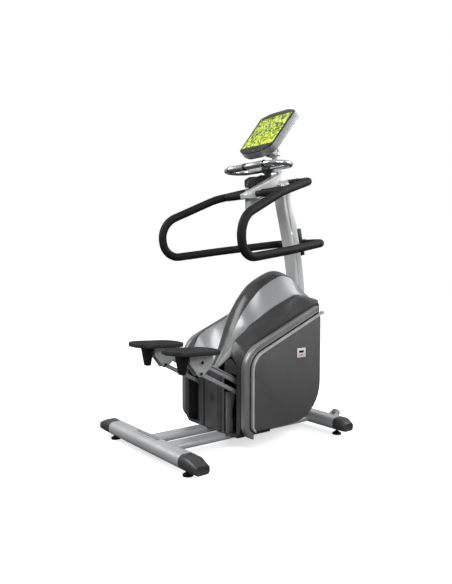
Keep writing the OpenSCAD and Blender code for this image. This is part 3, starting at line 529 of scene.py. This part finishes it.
def hump_at(s, u):
    return s[2] * u, s[1] + (s[3] - s[1]) * u * u


def crown_at(s, u):
    bow = 5.0 * math.sin(math.pi * u)
    return s[2] + (s[4] - s[2]) * u, s[3] + (s[5] - s[3]) * u - bow


def saddle_at(s, u):
    x = s[4] + (SADDLE_X - s[4]) * u
    return x, s[5] + (s[6] - s[5]) * ((x - s[4]) / (SIDE_X - s[4])) ** 1.4


def top_cover(name, node, form, u0, u1, x0, x1, cols, mat, sides, skirt=0.0, mast_gap=False):
    """A smooth moulded skin over the same sections as the CAD cover.

    form(section, u) gives the skin's (x, z); x0 and x1 only set how far forward each edge runs.
    """
    bm = bmesh.new()
    rows, skin = 72, 7.0
    for s in sides:
        grid, low = [], []
        for i in range(rows + 1):
            line, under = [], []
            for j in range(cols + 1):
                t = j / cols
                u, x_end = u0 + (u1 - u0) * t, x0 + (x1 - x0) * t
                y = COVER_REAR + (front_edge(x_end) - COVER_REAR) * i / rows
                x, z = form(section(y), u)
                line.append(bm.verts.new(Vector((s * x, y, z)) * MM))
                under.append(bm.verts.new(Vector((s * x, y, z - skin - skirt * i / rows * t)) * MM))
            grid.append(line)
            low.append(under)
        for i in range(rows):
            for j in range(cols):
                if mast_gap and abs(x0 + (x1 - x0) * (j + 0.5) / cols) < MAST_GAP and i > 62:
                    continue
                bm.faces.new((grid[i][j], grid[i][j + 1], grid[i + 1][j + 1], grid[i + 1][j]))
                bm.faces.new((low[i][j], low[i + 1][j], low[i + 1][j + 1], low[i][j + 1]))
    edges = [e for e in bm.edges if e.is_boundary]
    bm.verts.ensure_lookup_table()
    pair = {bm.verts[k]: bm.verts[k + 1] for k in range(0, len(bm.verts), 2)}
    for e in edges:
        a, b = e.verts
        if a in pair and b in pair:
            bm.faces.new((a, b, pair[b], pair[a]))
    bmesh.ops.delete(bm, geom=[v for v in bm.verts if not v.link_faces], context="VERTS")
    piece(name, from_bmesh(name, bm), mat, replaces=(node,), smooth_angle=40)


top_cover("hump_cover", "hump", hump_at, -0.985, 0.985, -60, 60, 24, MATS["hump_dark"], (1,),
          mast_gap=True)
top_cover("crown_covers", "crowns", crown_at, 0.01, 0.985, 60, 98, 14, MATS["crown_silver"], (-1, 1))
top_cover("saddle_covers", "saddles", saddle_at, 0.01, 1.0, 100, 243, 20, MATS["saddle_grey"], (-1, 1),
          skirt=18.0)


# ---- pedal treads ---------------------------------------------------------------------

# Plan, middle and slope of a pedal, in millimetres and degrees
PEDAL_W, PEDAL_L, PEDAL_R = 180.0, 280.0, 76.0
ARM_X = 158
PEDAL_Y, PEDAL_Z = -349, 506
PEDAL_TILT = 3
STUD_STEP = 13.0
STUD_MARGIN = 19


def rounded_loop(w, l, r, n=14):
    """A rounded rectangle, in millimetres, as a list of points."""
    out = []
    u, v = w / 2 - r, l / 2 - r
    for cx, cy, a0 in ((u, v, 0), (-u, v, 90), (-u, -v, 180), (u, -v, 270)):
        for k in range(n + 1):
            a = math.radians(a0 + 90 * k / n)
            out.append((cx + r * math.cos(a), cy + r * math.sin(a)))
    return out


def ring_stack(bm, levels, w, l, r):
    """Stacked outlines: levels are (inset, height); the first and the last are capped."""
    rings = []
    for i, h in levels:
        rings.append([bm.verts.new((x, y, h)) for x, y in rounded_loop(w - 2 * i, l - 2 * i, r - i)])
    for a, b in zip(rings, rings[1:]):
        for k in range(len(a)):
            bm.faces.new((a[k], a[(k + 1) % len(a)], b[(k + 1) % len(b)], b[k]))
    bm.faces.new(rings[0][::-1])
    bm.faces.new(rings[-1])


def stud(bm, x, y, z, w, l, h):
    """A small raised bar with sloping sides."""
    corners = ((-1, -1), (1, -1), (1, 1), (-1, 1))
    low = [bm.verts.new((x + a * w / 2, y + b * l / 2, z)) for a, b in corners]
    top = [bm.verts.new((x + a * w * 0.3, y + b * l * 0.38, z + h)) for a, b in corners]
    for k in range(4):
        bm.faces.new((low[k], low[(k + 1) % 4], top[(k + 1) % 4], top[k]))
    bm.faces.new(top)
    bm.faces.new(low[::-1])


def pedal_tread(side, s):
    """A pedal's top with a raised rim, rows of studs and a short skirt."""
    bm = bmesh.new()
    rim = [(4.2, 1.3), (4.2, -12), (1.2, -12), (0, -10.5), (0, 3.5), (1.5, 6.6), (5, 8.1), (9, 7.4),
           (12, 7.1)]
    ring_stack(bm, rim, PEDAL_W, PEDAL_L, PEDAL_R)
    for i in range(-10, 11):
        for j in range(-6, 7):
            x, y = j * STUD_STEP + (STUD_STEP / 2 if i % 2 else 0), i * STUD_STEP
            over_x = max(0, abs(x) - (PEDAL_W / 2 - PEDAL_R))
            over_y = max(0, abs(y) - (PEDAL_L / 2 - PEDAL_R))
            if math.hypot(over_x, over_y) < PEDAL_R - STUD_MARGIN:
                stud(bm, x, y, 6.9, 8.5, 8.5, 2.6)
    tilt = Matrix.Rotation(math.radians(-PEDAL_TILT), 4, "X")
    place = Matrix.Translation((s * ARM_X, PEDAL_Y, PEDAL_Z))
    bm.transform(Matrix.Scale(MM, 4) @ place @ tilt)
    name = "studded_tread_" + side
    piece(name, from_bmesh(name, bm), MATS["tread_plastic"], "pedal_" + side,
          ("pedal_tread_" + side,), 30)


def disc(bm, center, axis, radius, height, sides=20, dome=0.35):
    """A domed disc whose base is at center and that rises along axis."""
    turn = Vector((0, 0, 1)).rotation_difference(Vector(axis)).to_matrix().to_4x4()
    round_trip = [2 * math.pi * k / sides for k in range(sides)]
    rings = []
    for r, h in ((1.0, 0.0), (1.0, 1 - dome), (0.86, 0.93), (0.5, 1.0)):
        ring = [Vector((radius * r * math.cos(a), radius * r * math.sin(a), height * h)) for a in round_trip]
        rings.append([bm.verts.new(Vector(center) + turn @ v) for v in ring])
    for a, b in zip(rings, rings[1:]):
        for k in range(sides):
            bm.faces.new((a[k], a[(k + 1) % sides], b[(k + 1) % sides], b[k]))
    bm.faces.new(rings[0][::-1])
    bm.faces.new(rings[-1])


# Pins of the pedal bracket: the upper arm rises from its axle, and the lower pin is under the upper
AXLE_Y, AXLE_Z = 0.119, 0.226
ARM_L = 0.48
ARM_RISE = math.radians(28)
UPPER_PIN = (AXLE_Y - ARM_L * math.cos(ARM_RISE), AXLE_Z + ARM_L * math.sin(ARM_RISE))
LOWER_PIN = (UPPER_PIN[0] - 0.006, UPPER_PIN[1] - 0.052)
BOLT_OUT = 0.0264

for side, s in (("left", -1), ("right", 1)):
    pedal_tread(side, s)
    bm = bmesh.new()
    for y, z in (UPPER_PIN, LOWER_PIN):
        for out in (-1, 1):
            disc(bm, (s * ARM_X * MM + out * BOLT_OUT, y, z), (out, 0, 0), 0.0075, 0.004)
    name = "pivot_bolts_" + side
    piece(name, from_bmesh(name, bm), DARK_MARK, "pedal_" + side)


# ---- springs, grips and small marks ---------------------------------------------------

def coil_springs():
    """The two return springs as open coils, in millimetres until the sweep."""
    bm = bmesh.new()
    turns, steps, coil_r, wire_r = 14, 24, 9.8, 0.0013
    y_mid, low, length = 110.5, 276, 101
    for s in (-1, 1):
        path = []
        for k in range(turns * steps + 1):
            a = 2 * math.pi * k / steps
            z = low + length * k / (turns * steps)
            path.append(Vector((s * ARM_X + coil_r * math.cos(a), y_mid + coil_r * math.sin(a), z)) * MM)
        sweep(bm, path, [wire_r] * len(path), 8)
    piece("coil_springs", from_bmesh("coil_springs", bm), MATS["bright_steel"],
          replaces=("return_springs",))


coil_springs()

# A dark collar at both ends of each pulse grip
bm = bmesh.new()
for s in (-1, 1):
    for x in (0.0125, 0.1415):
        for way in (-s, s):
            disc(bm, (s * x, 0.110, 1.418), (way, 0, 0), 0.0192, 0.0026, 32, 0.3)
piece("grip_collars", from_bmesh("grip_collars", bm), DARK_MARK)


def plate(name, mat, body, center, along, up, w, h, t, r):
    """A thin plate with round corners on a surface: along and up span it, t is its thickness."""
    along, up = Vector(along).normalized(), Vector(up).normalized()
    out = along.cross(up)
    bm = bmesh.new()
    loop = rounded_loop(w, h, r, 5)
    rings = []
    for k, lift in ((1.0, 0.0), (1.0, t * 0.7), (0.985, t)):
        spots = [(along * x * k + up * y * k + out * lift) * MM for x, y in loop]
        rings.append([bm.verts.new(Vector(center) + spot) for spot in spots])
    for a, b in zip(rings, rings[1:]):
        for k in range(len(a)):
            bm.faces.new((a[k], a[(k + 1) % len(a)], b[(k + 1) % len(b)], b[k]))
    bm.faces.new(rings[0][::-1])
    bm.faces.new(rings[-1])
    piece(name, from_bmesh(name, bm), mat, body)


# A generic mark on the badge, and a faint raised pad on the column
RIGHT, AHEAD, UPWARD = (1, 0, 0), (0, 1, 0), (0, 0, 1)
plate("badge_mark", DARK_MARK, "base", (0.2875, 0.238, 0.466), AHEAD, UPWARD,
      34, 12, 0.5, 5)
plate("badge_stripe", RED_MARK, "base", (0.2875, 0.238, 0.449), AHEAD, UPWARD,
      26, 4, 0.5, 1.8)
plate("column_pad", MATS["cover_dark"], "base", (0.012, -0.1229, 0.236), RIGHT, UPWARD,
      34, 42, 0.8, 8)

# A slot and a small lamp at the foot of the console's sloping face; the slot is a flat dark plate, its dark
# colour painted shade in place of the slot's recess
TILT = math.radians(39)
FACE_UP = Vector((0, math.sin(TILT), math.cos(TILT)))
FACE_MID = Vector((0, 0.243, 1.618))
FACE_OUT = Vector((0, -math.cos(TILT), math.sin(TILT)))
FACE_ON = FACE_MID + FACE_OUT * 0.0001
plate("console_slot_painted_shade", DARK_MARK, "console", FACE_ON - FACE_UP * 0.124, RIGHT, FACE_UP,
      62, 9, 0.6, 4)
plate("console_lamp", MATS["console_silver"], "console", FACE_ON - FACE_UP * 0.142,
      RIGHT, FACE_UP, 8, 5, 0.6, 2.4)
